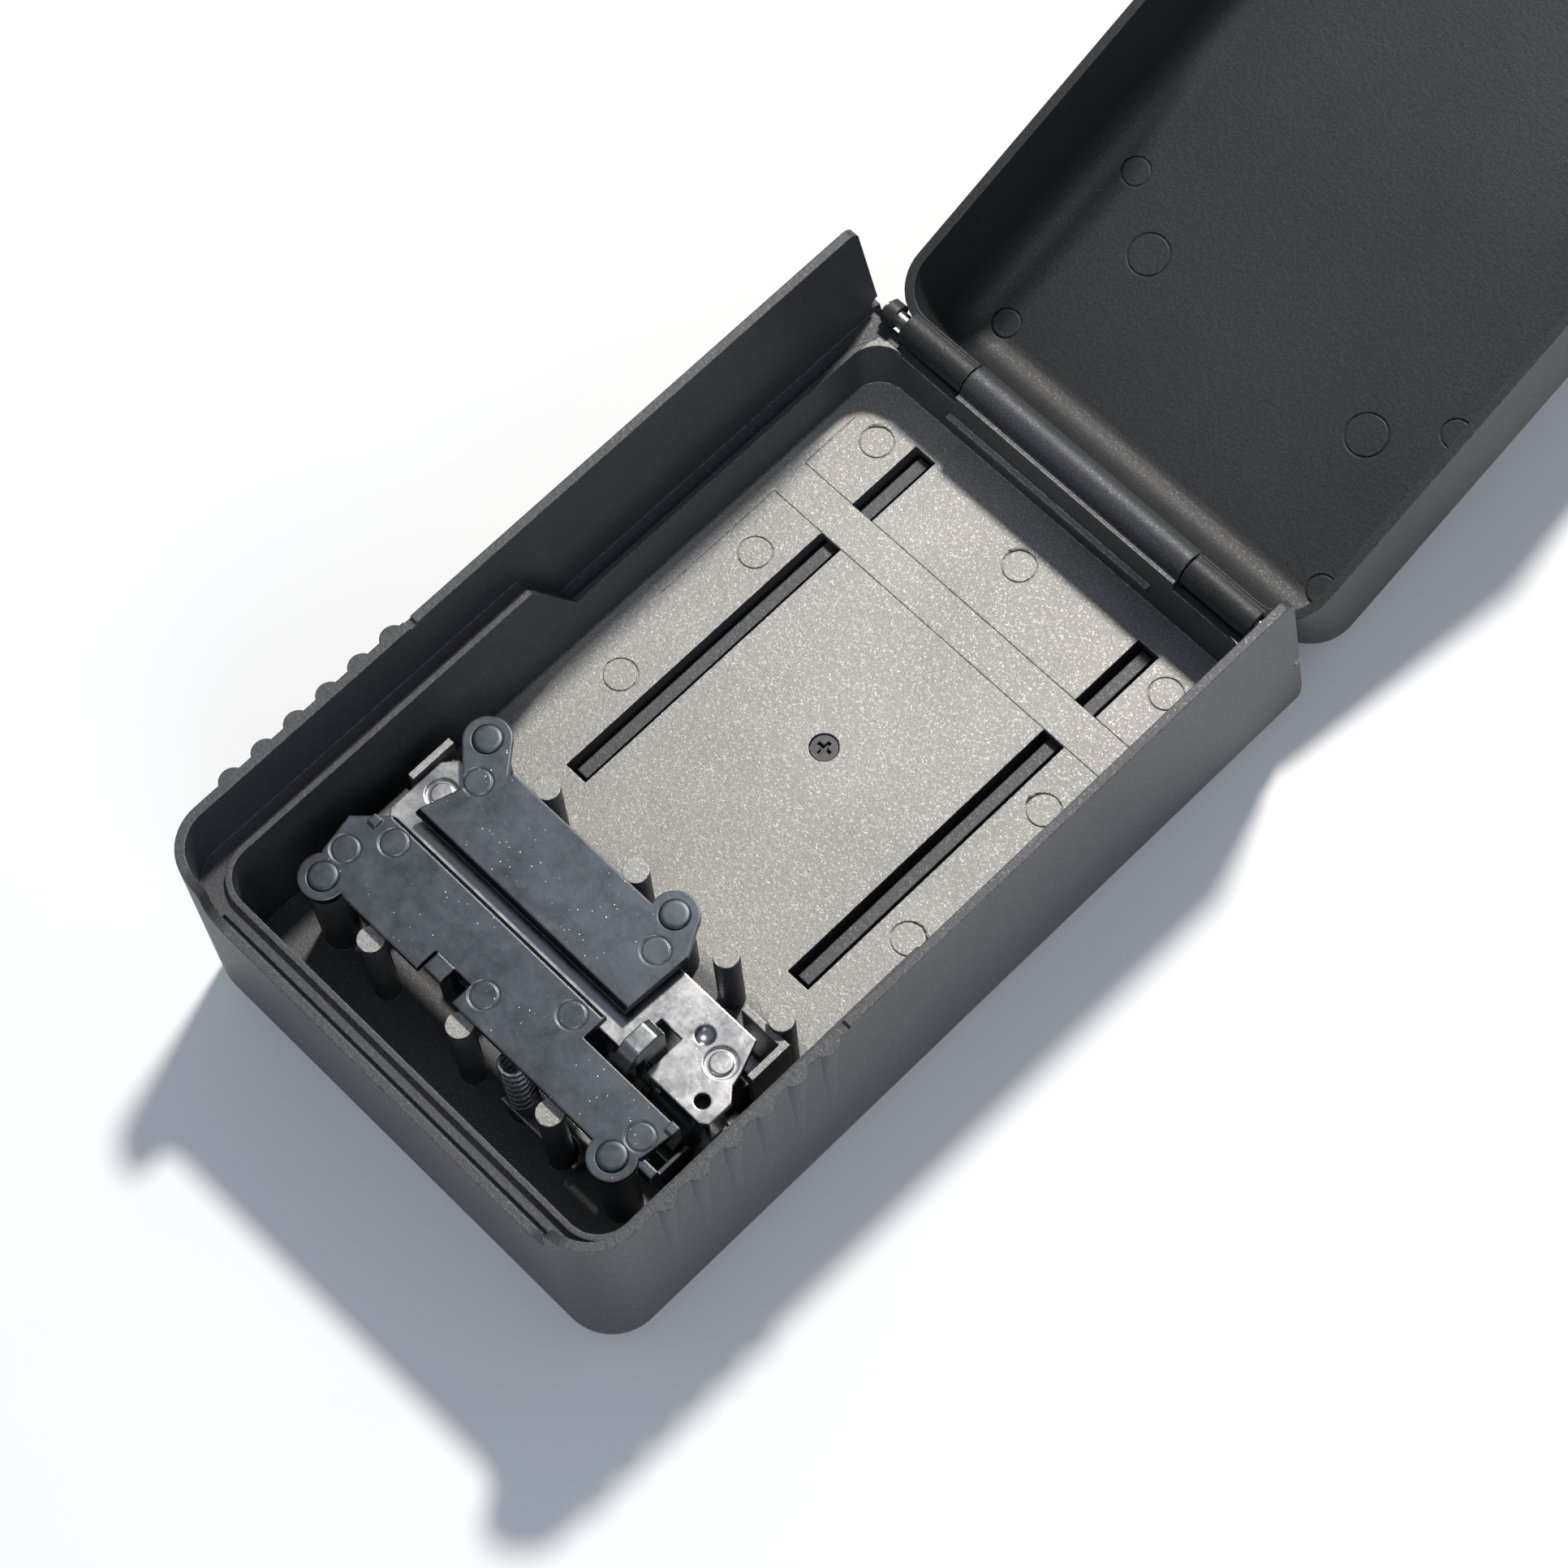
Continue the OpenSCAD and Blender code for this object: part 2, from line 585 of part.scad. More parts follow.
// Hook on the spindle: nose above, release arm in front
module latch_hook() {
    nose_y = lock_y - 4.9;
    tip_z = catch_z + 6.4;
    color(nickel) difference() {
        union() {
            bar(hook_x, hook_x + hook_w, 2.8, lock_y, lock_z);
            translate([hook_x, 0, 0]) rotate([90, 0, 90]) linear_extrude(hook_w)
                polygon([[lock_y - 1.6, lock_z], [lock_y + 2.2, lock_z], [lock_y + 2.2, tip_z - 1.2],
                    [lock_y + 1, tip_z], [lock_y - 2.4, tip_z], [nose_y, catch_z + 4], [nose_y, catch_z + 3.2],
                    [lock_y - 1.6, catch_z + 3.2]]);
            translate([hook_x, 0, 0]) rotate([90, 0, 90]) linear_extrude(hook_w)
                polygon([[lock_y - 2.6, lock_z + 0.8], [lock_y - 2, lock_z - 1.7], [lock_y - 10, arm_z],
                    [lock_y - 16, arm_z], [lock_y - 16, arm_z + arm_t], [lock_y - 10, arm_z + arm_t]]);
            block(button_x - 2.6, hook_x + hook_w, lock_y - 16, lock_y - 11.4, arm_z, arm_z + arm_t);
        }
        bar(hook_x - 1, hook_x + hook_w + 1, spindle_d/2 + run, lock_y, lock_z);
        // Room for the divider post beside the arm
        translate([17, lock_y - 15.5, 0]) cylinder(h = 40, r = 2.4);
    }
}

// Coil spring between the front plate and the arm of the hook
module latch_spring() {
    z0 = arm_z + arm_t + spring_wire + 0.05;
    z1 = front_plate_z - plate_t - spring_wire - 0.05;
    steps = 12*spring_turns;
    sides = 6;
    ring = [for (i = [0:steps], k = [0:sides - 1]) let (a = 360*i/12, b = 360*k/sides, r = spring_r + spring_wire*cos(b))
        [button_x + r*cos(a), button_y + r*sin(a), z0 + (z1 - z0)*i/steps + spring_wire*sin(b)]];
    walls = [for (i = [0:steps - 1], k = [0:sides - 1]) let (n = (k + 1)%sides)
        [i*sides + k, i*sides + n, (i + 1)*sides + n, (i + 1)*sides + k]];
    caps = [[for (k = [sides - 1:-1:0]) k], [for (k = [0:sides - 1]) steps*sides + k]];
    color(steel) polyhedron(ring, concat(walls, caps), convexity = 10);
}

module release_button() {
    color(black) translate([button_x, button_y, 0]) {
        translate([0, 0, recess_z + 0.2]) cylinder(h = 0.8, r1 = button_r - 0.8, r2 = button_r);
        translate([0, 0, recess_z + 1]) cylinder(h = 0.6, r = button_r);
        translate([0, 0, recess_z + 1]) cylinder(h = arm_z - 0.4 - recess_z - 1, r = button_stem_r);
    }
}

// Code change lever: a tab above the front plate, a bar and a finger behind each flange
module reset_lever() {
    z0 = lock_z + 4;
    bar_y0 = lock_y - 11.2;
    bar_y1 = lock_y - 9.6;
    color(zinc) {
        block(dial_x[0] + flange_off - 0.7, dial_x[3] + flange_off - 0.1, bar_y0, bar_y1, z0, z0 + 2.6);
        for (x = dial_x)
            block(x + flange_off - 0.7, x + flange_off - 0.1, bar_y1 - 0.2, lock_y - 4.2, lock_z + 2.7, z0 + 1.2);
        block(-8.2, -5, bar_y0 - 1.2, bar_y1, z0, z0 + 2.6);
        block(-8.2, -5, bar_y0 - 1.2, bar_y0 + 0.2, z0, front_plate_z + 1.6);
        block(-8.2, -5, bar_y0 - 2.6, bar_y0 + 0.2, front_plate_z + 0.4, front_plate_z + 1.6);
    }
}

// Shutter over the dials, slid back; its rails run in the grooves of the floor
module weather_shutter() {
    top = shutter_t;
    color(cast) difference() {
        union() {
            intersection() {
                linear_extrude(shutter_t) rounded(shutter_w, shutter_y0, shutter_y1, 2.5);
                // Bevelled long edges
                translate([0, shutter_y1 + 1, 0]) rotate([90, 0, 0]) linear_extrude(shutter_l + 2)
                    polygon([[-shutter_w/2 + 1.2, 0], [shutter_w/2 - 1.2, 0], [shutter_w/2, 1.2],
                        [shutter_w/2, 5], [-shutter_w/2, 5], [-shutter_w/2, 1.2]]);
            }
            for (side = [-1, 1])
                block(side*rail_x - rail_w/2, side*rail_x + rail_w/2, long_slot_y0 + 1, shutter_y1, top - 0.5, rail_top);
        }
        // Slot of the guide, narrow above and wide below
        slot_y0 = screw_y;
        slot_y1 = screw_y + shutter_travel;
        for (s = [[2.3, top - 1, 5], [4.3, top - 2, 1.02]]) translate([0, 0, s[1]]) linear_extrude(s[2]) {
            translate([-s[0], slot_y0]) square([2*s[0], slot_y1 - slot_y0]);
            for (y = [slot_y0, slot_y1]) translate([0, y]) circle(s[0]);
        }
        // Finger grooves at the front edge
        for (i = [0:2]) bar(-14, 14, 0.8, shutter_y0 + 4 + 2.6*i, -0.3);
    }
}

module shutter_guide() {
    top = shutter_t;
    color(steel) translate([0, screw_y, 0]) difference() {
        union() {
            translate([0, 0, top - 1.9]) cylinder(h = 0.8, r = 4);
            translate([0, 0, top - 1.9]) cylinder(h = recess_z - 0.02 - top + 1.9, r = 2);
        }
        translate([0, 0, top - 3]) cylinder(h = 10, r = 1.07);
    }
}

module shutter_screw() {
    top = floor_t - 0.25;
    color(black) translate([0, screw_y, 0]) difference() {
        union() {
            translate([0, 0, floor_t - 1.08]) cylinder(h = top - floor_t + 1.08, r = 2);
            translate([0, 0, 1.2]) cylinder(h = floor_t - 2, r = 1.05);
        }
        for (a = [0, 90]) rotate([0, 0, a]) translate([0, 0, top]) cube([2.3, 0.55, 1.1], center = true);
    }
}

// Distance of the strike from the hinge axis
function strike_u() = hinge_y - strike_y;

// Tongue on the box with the window that the hook's nose enters
module latch_strike() {
    x0 = hook_x - 2.2;
    x1 = hook_x + hook_w + 2.2;
    floor_w = -box_d + 1.5;
    tip_w = -(catch_z + 1 - hinge_z);
    u = strike_u();
    win_low = -(catch_z + 6.2 - hinge_z);
    win_high = -(catch_z + 2.4 - hinge_z);
    color(steel) in_box() difference() {
        union() {
            block(x0, x1, u - strike_t/2, u + strike_t/2, floor_w + 0.02, tip_w);
            block(x0 - 2.6, x1 + 2.6, u - 7.4, u + strike_t/2, floor_w + 0.02, floor_w + strike_t);
        }
        block(hook_x - 0.6, hook_x + hook_w + 0.6, u - 5, u + 5, win_low, win_high);
        for (x = [-6, 6]) translate([hook_x + hook_w/2 + x, u - 4, floor_w - 1]) cylinder(h = 10, r = 1.15);
    }
}

module strike_screws() {
    u = strike_u();
    floor_w = -box_d + 1.5;
    color(steel) in_box() for (x = [-6, 6]) translate([hook_x + hook_w/2 + x, u - 4, 0]) {
        translate([0, 0, floor_w + strike_t + 0.02]) cylinder(h = 0.9, r = 1.9);
        translate([0, 0, -box_d + 0.1]) cylinder(h = strike_t + 1.6, r = 1);
    }
}

front_cover();
back_box();
hinge_pin();
hinge_bush(-1);  // hinge_bush_left
hinge_bush(1);  // hinge_bush_right
dial(0);  // dial_1
dial(1);  // dial_2
dial(2);  // dial_3
dial(3);  // dial_4
code_sleeve(0);  // code_sleeve_1
code_sleeve(1);  // code_sleeve_2
code_sleeve(2);  // code_sleeve_3
code_sleeve(3);  // code_sleeve_4
dial_spindle();
detent_spring();
lock_front_plate();
lock_rear_plate();
locking_plate();
latch_hook();
latch_spring();
release_button();
reset_lever();
weather_shutter();
shutter_guide();
shutter_screw();
latch_strike();
strike_screws();
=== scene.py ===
"""Dresses a packed key box with its finishes and fine pieces, and sets the stage and the camera."""

import math
import random

import bmesh
import bpy
from bpy.props import FloatProperty, FloatVectorProperty, IntProperty, PointerProperty
from mathutils import Matrix, Vector


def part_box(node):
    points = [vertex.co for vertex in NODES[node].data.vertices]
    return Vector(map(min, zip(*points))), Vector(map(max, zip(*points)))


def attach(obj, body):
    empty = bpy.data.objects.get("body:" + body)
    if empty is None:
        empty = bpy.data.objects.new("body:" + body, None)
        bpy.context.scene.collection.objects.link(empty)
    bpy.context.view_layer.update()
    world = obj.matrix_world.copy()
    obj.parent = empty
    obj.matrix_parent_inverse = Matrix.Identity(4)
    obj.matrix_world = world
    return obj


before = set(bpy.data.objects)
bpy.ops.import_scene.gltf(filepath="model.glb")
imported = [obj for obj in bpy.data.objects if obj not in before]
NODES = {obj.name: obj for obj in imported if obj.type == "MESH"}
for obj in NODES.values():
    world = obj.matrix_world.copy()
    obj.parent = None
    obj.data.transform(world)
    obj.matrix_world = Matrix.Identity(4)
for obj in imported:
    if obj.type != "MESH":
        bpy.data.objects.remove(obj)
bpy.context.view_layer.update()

bl_info = {
    "name": "Key Box Dresser",
    "version": (1, 0, 0),
    "blender": (4, 5, 0),
    "location": "3D View > Sidebar > Key Box",
    "description": "Finishes and fine pieces for a die-cast key box with a dial lock",
    "category": "Object",
}

MM = 0.001

# places on the CAD; pairs in mm are x and y
FLOOR_TOP = 9.0 * MM
DIAL_COUNT = 4
DIAL_AXIS = (-36.5 * MM, 11.9 * MM)  # y and z
DIAL_RADIUS = 8.6 * MM
NUMERALS = 10
RIVETED_POSTS = ((-27.4, -50.7), (27.4, -50.7), (-27.4, -21.5), (8.5, -21.5))
POST_REACH = 3.2 * MM
POST_OVERLAP = 0.06 * MM
HEAD_OUTLINE = ((0.0, 0.12), (0.72, 0.11), (0.9, 0.09), (0.97, 0.05), (1.0, -0.03), (0.0, -0.03))
FLASH_SPOTS = ((-28.0, 52.3, 95, 6), (0.0, 52.3, 110, 5), (28.0, 28.1, 150, 5), (28.0, 1.9, 50, 7))
FLASH_RADIUS = 2.65

# edges
WELD_DISTANCE = 0.002 * MM
SHARP_ANGLE = math.radians(38)

# stage, in metres
FLOOR_HALF = 3.0
FLOOR_DROP = 0.05 * MM
SKY_COLOUR = (0.72, 0.83, 1.0, 1)
LAMP_TARGET = Vector((0, 0.05, 0.02))
KEY_PLACE, KEY_SIZE, KEY_COLOUR = (-0.24, 0.62, 1.12), 0.13, (1.0, 0.96, 0.90)
FILL_PLACE, FILL_SIZE, FILL_COLOUR = (0.9, -0.5, 0.8), 0.8, (0.9, 0.94, 1.0)
FILL_SHARE = 0.25
CAMERA_PLACE = (0.17438, -0.13722, 0.53738)
CAMERA_AZIMUTH = math.radians(50.58)
CAMERA_ELEVATION = math.radians(66.86)


class KeyBoxFinishes(bpy.types.PropertyGroup):
    """Colours and grain of the castings and plates."""

    cover_coat: FloatVectorProperty(
        name="Cover coat", description="Powder coat of the front cover",
        subtype="COLOR", size=3, min=0, max=1, default=(0.060, 0.062, 0.069))
    # painted sunlight: paler colour for the up-facing floor of the key bay and the post ends, used
    # in place of the cover coat
    bay_metal: FloatVectorProperty(
        name="Bay", description="Paler thin coat on the floor and the posts of the bay",
        subtype="COLOR", size=3, min=0, max=1, default=(0.300, 0.294, 0.278))
    box_coat: FloatVectorProperty(
        name="Box coat", description="Powder coat of the wall box",
        subtype="COLOR", size=3, min=0, max=1, default=(0.031, 0.032, 0.034))
    plate_zinc: FloatVectorProperty(
        name="Lock plates", description="Dark dipped zinc of the two lock plates",
        subtype="COLOR", size=3, min=0, max=1, default=(0.062, 0.073, 0.086))
    nickel: FloatVectorProperty(
        name="Nickel", description="Bright plate and hook",
        subtype="COLOR", size=3, min=0, max=1, default=(0.42, 0.42, 0.43))
    grain: FloatProperty(
        name="Coat grain", description="Size of a grain in the powder coat",
        subtype="DISTANCE", unit="LENGTH", min=0.0001, max=0.001, default=0.00021)
    edge: FloatProperty(
        name="Plate edge", description="Width of the round edges of the lock plates",
        subtype="DISTANCE", unit="LENGTH", min=0, max=0.001, default=0.00022)


class KeyBoxDetails(bpy.types.PropertyGroup):
    """Sizes of the small pieces."""

    numeral_height: FloatProperty(
        name="Numeral height", description="Type size of the dial numerals",
        subtype="DISTANCE", unit="LENGTH", min=0.001, max=0.004, default=0.0036)
    numeral_rise: FloatProperty(
        name="Numeral rise", description="How far a numeral stands off its dial",
        subtype="DISTANCE", unit="LENGTH", min=0.00002, max=0.0002, default=0.00006)
    flash_seed: IntProperty(
        name="Flash seed", description="Seed of the small casting burrs", min=0, default=7)


class KeyBoxStage(bpy.types.PropertyGroup):
    """Light and camera."""

    key_power: FloatProperty(
        name="Key light", description="Power of the key lamp",
        unit="POWER", min=0, default=15.5)
    sky: FloatProperty(
        name="Sky", description="Strength of the even light from all round",
        min=0, max=2, default=0.31)
    lens: FloatProperty(
        name="Lens", description="Focal length on a 36 mm sensor",
        unit="CAMERA", min=20, default=96.51)
    roll: FloatProperty(
        name="Roll", description="Turn of the camera about its own axis",
        subtype="ANGLE", default=math.radians(-5.78))


# ---- helpers for materials


class Finish:
    """A principled material whose patterns read Object coordinates."""

    def __init__(self, name, **constants):
        self.material = bpy.data.materials.new(name)
        self.material.use_nodes = True
        self.tree = self.material.node_tree
        self.tree.nodes.clear()
        output = self.add("ShaderNodeOutputMaterial")
        self.shader = self.add("ShaderNodeBsdfPrincipled")
        self.tree.links.new(self.shader.outputs["BSDF"], output.inputs["Surface"])
        self.place = self.add("ShaderNodeTexCoord").outputs["Object"]
        for socket, value in constants.items():
            self.shader.inputs[socket.replace("_", " ")].default_value = value

    def add(self, kind, **settings):
        node = self.tree.nodes.new(kind)
        for key, value in settings.items():
            setattr(node, key, value)
        return node

    def put(self, node, **inputs):
        """Sets or links the named inputs of a node."""
        for key, value in inputs.items():
            socket = node.inputs[key.replace("_", " ")]
            if isinstance(value, bpy.types.NodeSocket):
                self.tree.links.new(value, socket)
            else:
                socket.default_value = value
        return node

    def noise(self, size, detail=2.0, roughness=0.5, distortion=0.0, place=None):
        node = self.put(self.add("ShaderNodeTexNoise"), Vector=place or self.place,
                        Scale=1 / size, Detail=detail, Roughness=roughness,
                        Distortion=distortion)
        return node.outputs["Fac"]

    def cells(self, size):
        """Distance from the nearest cell centre, and a random colour for each cell."""
        node = self.put(self.add("ShaderNodeTexVoronoi"), Vector=self.place, Scale=1 / size)
        return node.outputs["Distance"], node.outputs["Color"]

    def remap(self, value, low, high, to_low=0.0, to_high=1.0):
        node = self.put(self.add("ShaderNodeMapRange"), Value=value,
                        From_Min=low, From_Max=high, To_Min=to_low, To_Max=to_high)
        return node.outputs["Result"]

    def maths(self, operation, a, b):
        node = self.add("ShaderNodeMath", operation=operation)
        for socket, value in zip(node.inputs, (a, b)):
            if isinstance(value, bpy.types.NodeSocket):
                self.tree.links.new(value, socket)
            else:
                socket.default_value = value
        return node.outputs["Value"]

    def blend(self, factor, first, second):
        """Mixes two colours, each a tuple or a socket."""
        node = self.add("ShaderNodeMix", data_type="RGBA")
        sockets = node.inputs[0], node.inputs[6], node.inputs[7]
        for socket, value in zip(sockets, (factor, first, second)):
            if isinstance(value, bpy.types.NodeSocket):
                self.tree.links.new(value, socket)
            elif isinstance(value, float):
                socket.default_value = value
            else:
                socket.default_value = (*value[:3], 1.0)
        return node.outputs[2]

    def bump(self, height, depth, strength=1.0, under=None):
        node = self.put(self.add("ShaderNodeBump"), Height=height,
                        Distance=depth, Strength=strength)
        if under is not None:
            self.put(node, Normal=under)
        return node.outputs["Normal"]

    def soft_edge(self, radius):
        return self.put(self.add("ShaderNodeBevel", samples=6), Radius=radius).outputs["Normal"]

    def edge_mask(self, radius, low=0.985, high=0.9):
        """1 along sharp edges and 0 on flats."""
        shape = self.add("ShaderNodeNewGeometry").outputs["Normal"]
        dot = self.add("ShaderNodeVectorMath", operation="DOT_PRODUCT")
        self.tree.links.new(shape, dot.inputs[0])
        self.tree.links.new(self.soft_edge(radius), dot.inputs[1])
        return self.remap(dot.outputs["Value"], low, high)

    def finish(self, **inputs):
        self.put(self.shader, **inputs)
        return self.material


def shade(colour, factor):
    return tuple(min(1.0, c * factor) for c in colour[:3])


def powder_coat(name, colour, grain, sunlit_colour=None):
    """Textured coat on die-cast metal with fine glints; the optional second colour is painted
    sunlight on the up-facing floor and post ends of the bay.
    """
    coat = Finish(name, Metallic=0.25, IOR=1.5)
    sand = coat.noise(grain, detail=3.0, roughness=0.65)
    lumps = coat.noise(grain * 3.2, detail=2.0)
    haze = coat.noise(16 * MM, detail=3.0)
    _, flake = coat.cells(grain * 0.95)
    pick = coat.add("ShaderNodeSeparateColor")
    coat.tree.links.new(flake, pick.inputs[0])
    glint = coat.remap(pick.outputs["Red"], 0.78, 1.0)
    worn = coat.maths("MULTIPLY", coat.edge_mask(0.35 * MM),
                      coat.remap(lumps, 0.42, 0.56, 0.0, 1.3))
    tone = coat.maths("MULTIPLY", coat.remap(sand, 0.34, 0.66, 0.6, 1.4),
                      coat.remap(haze, 0.3, 0.7, 0.9, 1.08))
    tone = coat.maths("ADD", tone, coat.maths("MULTIPLY", glint, 0.5))
    tone = coat.maths("ADD", tone, worn)
    scale = coat.add("ShaderNodeVectorMath", operation="SCALE")
    if sunlit_colour is None:
        scale.inputs[0].default_value = colour[:3]
    else:
        # painted sunlight: the base colour blends to the paler colour where the mask is 1
        coat.tree.links.new(coat.blend(bay_mask(coat), colour, sunlit_colour), scale.inputs[0])
    coat.tree.links.new(tone, scale.inputs["Scale"])
    rough = coat.maths("SUBTRACT", coat.remap(sand, 0.25, 0.75, 0.42, 0.62),
                       coat.maths("MULTIPLY", glint, 0.12))
    height = coat.maths("ADD", sand, coat.maths("MULTIPLY", lumps, 1.6))
    normal = coat.bump(height, 0.05 * MM, 0.55, coat.soft_edge(0.3 * MM))
    return coat.finish(Base_Color=scale.outputs["Vector"], Roughness=rough, Normal=normal)


def bay_mask(coat):
    """Painted sunlight on the cover: 1 on the up-facing floor of the key bay and the ends of the
    posts, 0 on the rest of the cover.
    """
    axes = coat.add("ShaderNodeSeparateXYZ")
    coat.tree.links.new(coat.place, axes.inputs[0])
    facing = coat.add("ShaderNodeSeparateXYZ")
    coat.tree.links.new(coat.add("ShaderNodeNewGeometry").outputs["True Normal"], facing.inputs[0])
    across = coat.maths("ABSOLUTE", axes.outputs["X"], 0.0)
    # painted shade: the floor of the lock compartment keeps only 0.12 of the painted sunlight
    beyond_lock = coat.remap(axes.outputs["Y"], -21.0 * MM, -18.0 * MM, 0.12, 1.0)
    # painted sunlight on the ends of the posts
    post_ends = coat.remap(axes.outputs["Z"], 15.0 * MM, 16.0 * MM)
    mask = coat.maths("MAXIMUM", beyond_lock, post_ends)
    limits = ((across, 35.9, 35.6),
              (axes.outputs["Y"], -60.9, -60.7), (axes.outputs["Y"], 61.0, 60.8),
              (axes.outputs["Z"], 5.0, 6.0), (axes.outputs["Z"], 30.6, 29.8))
    for value, outside, inside in limits:
        mask = coat.maths("MULTIPLY", mask, coat.remap(value, outside * MM, inside * MM))
    # painted sunlight only on faces that look up; walls keep 0.1 of it as painted shade
    return coat.maths("MULTIPLY", mask, coat.remap(facing.outputs["Z"], 0.6, 0.9, 0.1, 1.0))


def dipped_zinc(name, colour, rough_low, rough_high, speck_share, edge_gain):
    """Glossy dipped metal with smudges, fine bright specks and bright edges."""
    metal = Finish(name, Metallic=1.0)
    smudge = metal.noise(4.5 * MM, detail=6.0, roughness=0.7, distortion=0.3)
    film = metal.noise(1.1 * MM, detail=3.0, roughness=0.6)
    tint = metal.blend(metal.remap(smudge, 0.35, 0.68), shade(colour, 0.9), shade(colour, 1.1))
    tint = metal.blend(metal.remap(film, 0.45, 0.75, 0.0, 0.22), tint, shade(colour, 1.4))
    distance, random_colour = metal.cells(0.75 * MM)
    pick = metal.add("ShaderNodeSeparateColor")
    metal.tree.links.new(random_colour, pick.inputs[0])
    dot = metal.remap(distance, 0.16, 0.07)
    kept = metal.remap(pick.outputs["Blue"], 1 - speck_share, 1.04 - speck_share)
    cluster = metal.remap(metal.noise(9 * MM, detail=1.0), 0.42, 0.62)
    speck = metal.maths("MULTIPLY", metal.maths("MULTIPLY", dot, kept), cluster)
    tint = metal.blend(speck, tint, (0.85, 0.84, 0.82))
    edges = metal.maths("MULTIPLY", metal.edge_mask(0.3 * MM), edge_gain)
    tint = metal.blend(edges, tint, (0.5, 0.5, 0.5))
    rough = metal.remap(smudge, 0.3, 0.7, rough_low, rough_high)
    height = metal.maths("ADD", metal.maths("MULTIPLY", speck, 2.0), film)
    normal = metal.bump(height, 0.02 * MM, 0.35, metal.soft_edge(0.35 * MM))
    return metal.finish(Base_Color=tint, Roughness=rough, Normal=normal)


def drawn_steel(name, colour, rough):
    """Turned or drawn steel, with fine lines round the X axis."""
    steel = Finish(name, Metallic=1.0)
    stretch = steel.put(steel.add("ShaderNodeMapping"), Vector=steel.place, Scale=(9.0, 1.0, 1.0))
    lines = steel.noise(1.6 * MM, detail=4.0, roughness=0.7, place=stretch.outputs["Vector"])
    stain = steel.noise(4 * MM, detail=3.0)
    tint = steel.blend(steel.remap(lines, 0.3, 0.7), shade(colour, 0.8), shade(colour, 1.15))
    tint = steel.blend(steel.remap(stain, 0.5, 0.75, 0.0, 0.3), tint, shade(colour, 0.55))
    rough_map = steel.remap(lines, 0.3, 0.7, rough * 0.7, rough * 1.35)
    normal = steel.bump(lines, 0.008 * MM, 0.4, steel.soft_edge(0.15 * MM))
    return steel.finish(Base_Color=tint, Roughness=rough_map, Normal=normal)


def moulded_plastic(name, colour):
    """Fine-grained moulded plastic, a little worn on its edges."""
    plastic = Finish(name, IOR=1.5)
    grain = plastic.noise(0.22 * MM, detail=3.0, roughness=0.6)
    rub = plastic.noise(3 * MM, detail=4.0)
    tint = plastic.blend(plastic.remap(grain, 0.3, 0.7), shade(colour, 0.75), shade(colour, 1.4))
    worn = plastic.maths("MULTIPLY", plastic.edge_mask(0.25 * MM),
                         plastic.remap(rub, 0.4, 0.65, 0.0, 0.5))
    tint = plastic.blend(worn, tint, shade(colour, 4.0))
    normal = plastic.bump(grain, 0.02 * MM, 0.5, plastic.soft_edge(0.2 * MM))
    rough = plastic.remap(rub, 0.3, 0.7, 0.34, 0.52)
    return plastic.finish(Base_Color=tint, Roughness=rough, Normal=normal)


def dress(nodes, material):
    """Puts a material on CAD nodes."""
    for name in nodes:
        mesh = NODES[name].data
        mesh.materials.clear()
        mesh.materials.append(material)


def round_edges(nodes, width):
    """Welds a node's loose triangles and rounds its sharp edges."""
    for name in nodes:
        node = NODES[name]
        weld = node.modifiers.new("join", "WELD")
        weld.merge_threshold = WELD_DISTANCE
        bevel = node.modifiers.new("edge", "BEVEL")
        bevel.width = width
        bevel.segments = 2
        bevel.limit_method = "ANGLE"
        bevel.angle_limit = SHARP_ANGLE
        bevel.harden_normals = False
        bevel.use_clamp_overlap = True


def add_piece(name, bm, material, body):
    """Makes a finished piece of a bmesh, with its place in its mesh."""
    mesh = bpy.data.meshes.new(name)
    bm.to_mesh(mesh)
    bm.free()
    mesh.materials.append(material)
    piece = bpy.data.objects.new(name, mesh)
    bpy.context.scene.collection.objects.link(piece)
    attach(piece, body)
    return piece


# ---- operators


class KEYBOX_OT_castings(bpy.types.Operator):
    """Powder coat on the cover, the wall box and the shutter"""

    bl_idname = "keybox.castings"
    bl_label = "Coat the castings"

    def execute(self, context):
        look = context.scene.key_box_finishes
        # the cover's coat carries painted sunlight on the bay floor and the post ends
        dress(["front_cover"],
              powder_coat("cover_coat", look.cover_coat, look.grain, look.bay_metal))
        dress(["back_box"], powder_coat("box_coat", look.box_coat, look.grain))
        dress(["weather_shutter"],
              powder_coat("shutter_coat", shade(look.cover_coat, 0.9), look.grain))
        return {"FINISHED"}


class KEYBOX_OT_lock_plates(bpy.types.Operator):
    """Dark dipped zinc and round edges on the two lock plates and the lever"""

    bl_idname = "keybox.lock_plates"
    bl_label = "Finish the lock plates"

    def execute(self, context):
        look = context.scene.key_box_finishes
        plates = ["lock_front_plate", "lock_rear_plate", "reset_lever"]
        dress(plates, dipped_zinc("plate_zinc", look.plate_zinc, 0.3, 0.42, 0.3, 0.8))
        round_edges(plates, look.edge)
        return {"FINISHED"}


